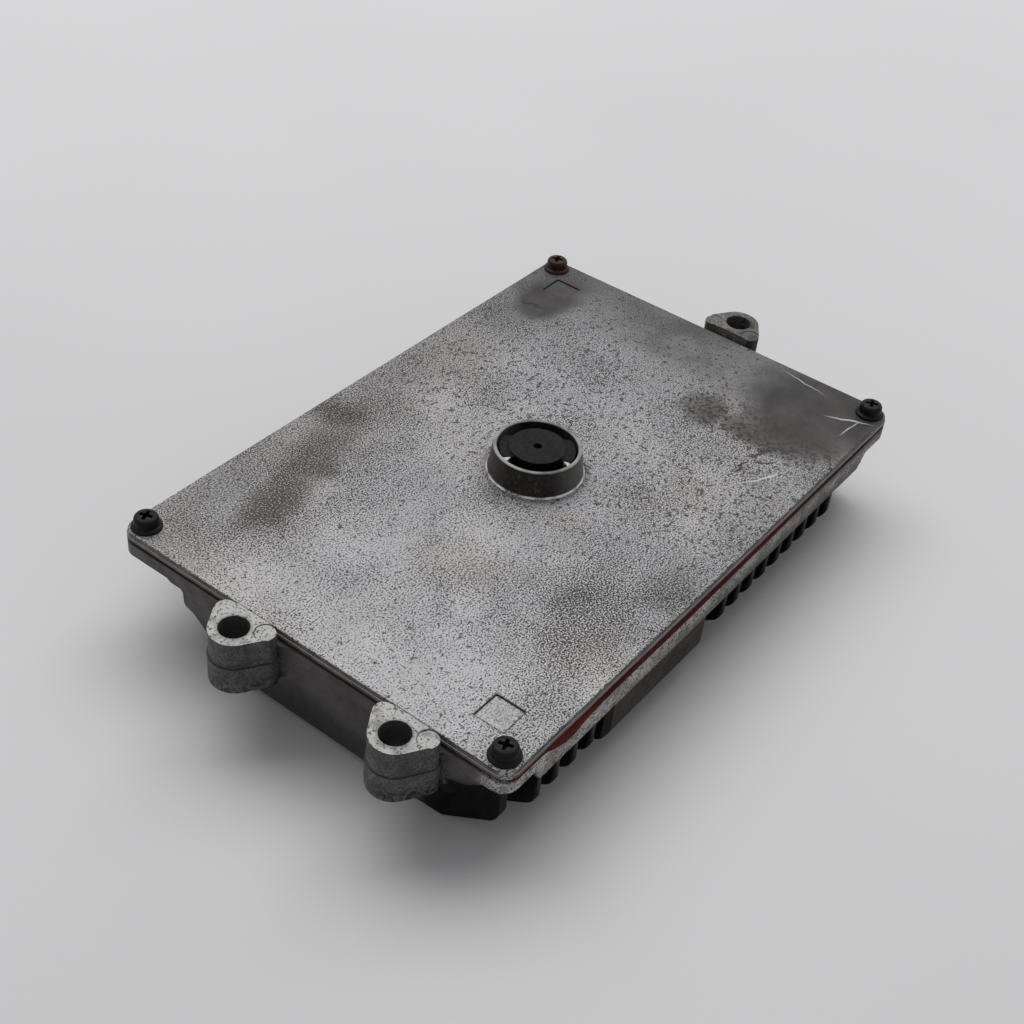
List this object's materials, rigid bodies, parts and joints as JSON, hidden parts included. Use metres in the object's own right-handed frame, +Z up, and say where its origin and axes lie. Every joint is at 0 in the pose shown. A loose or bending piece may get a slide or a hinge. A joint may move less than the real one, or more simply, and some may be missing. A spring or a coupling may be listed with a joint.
{
  "type": "engine control unit",
  "caption": "Sealed engine control unit: finned die-cast tub, flat cast cover with a vent collar and corner screws, mounting ears at both ends and a plastic connector header.",
  "frame": {"origin": "Below the middle of the whole unit, on the plane of the underside.", "axes": "+X runs along the long side towards the end with the single ear, +Y towards the connector sockets, +Z up out of the cover."},
  "size_m": [0.1942, 0.1188, 0.0351],
  "materials": {
    "cast_housing": "as-cast, stained and pitted",
    "cast_cover": "aged cast surface with fine dark speckle",
    "red_silicone": "cured liquid gasket",
    "black_screws": "black coated steel",
    "black_plastic": "moulded",
    "white_membrane": "porous film",
    "seal_rubber": "moulded",
    "header_plastic": "glass-filled, moulded",
    "potting": "poured resin",
    "pin_brass": "drawn and plated",
    "plain_steel": "zinc plated",
    "board_laminate": "solder mask",
    "chip_plastic": "moulded epoxy",
    "thermal_rubber": "soft filled pad",
    "can_aluminium": "lacquered can",
    "ferrite": "sintered",
    "chip_ceramic": "fired"
  },
  "bodies": {
    "root": {"housing": "cast_housing", "cover": "cast_cover", "sealant": "red_silicone", "cover_screws": "black_screws", "vent_cap": "black_plastic", "vent_membrane": "white_membrane", "vent_seal": "seal_rubber", "connector_header": "header_plastic", "header_potting": "potting", "header_pins_a": "pin_brass", "header_pins_b": "pin_brass", "header_pins_c": "pin_brass", "header_screws": "plain_steel", "circuit_board": "board_laminate", "board_screws": "plain_steel", "microcontroller": "chip_plastic", "memory_chip": "chip_plastic", "pressure_sensor": "chip_plastic", "power_drivers": "chip_plastic", "output_transistors": "chip_plastic", "thermal_pads": "thermal_rubber", "supply_regulator": "chip_plastic", "smoothing_capacitors": "can_aluminium", "power_inductors": "ferrite", "clock_crystal": "plain_steel", "protection_diodes": "chip_plastic", "chip_capacitors": "chip_ceramic", "chip_resistors": "chip_plastic"}
  },
  "joints": []
}
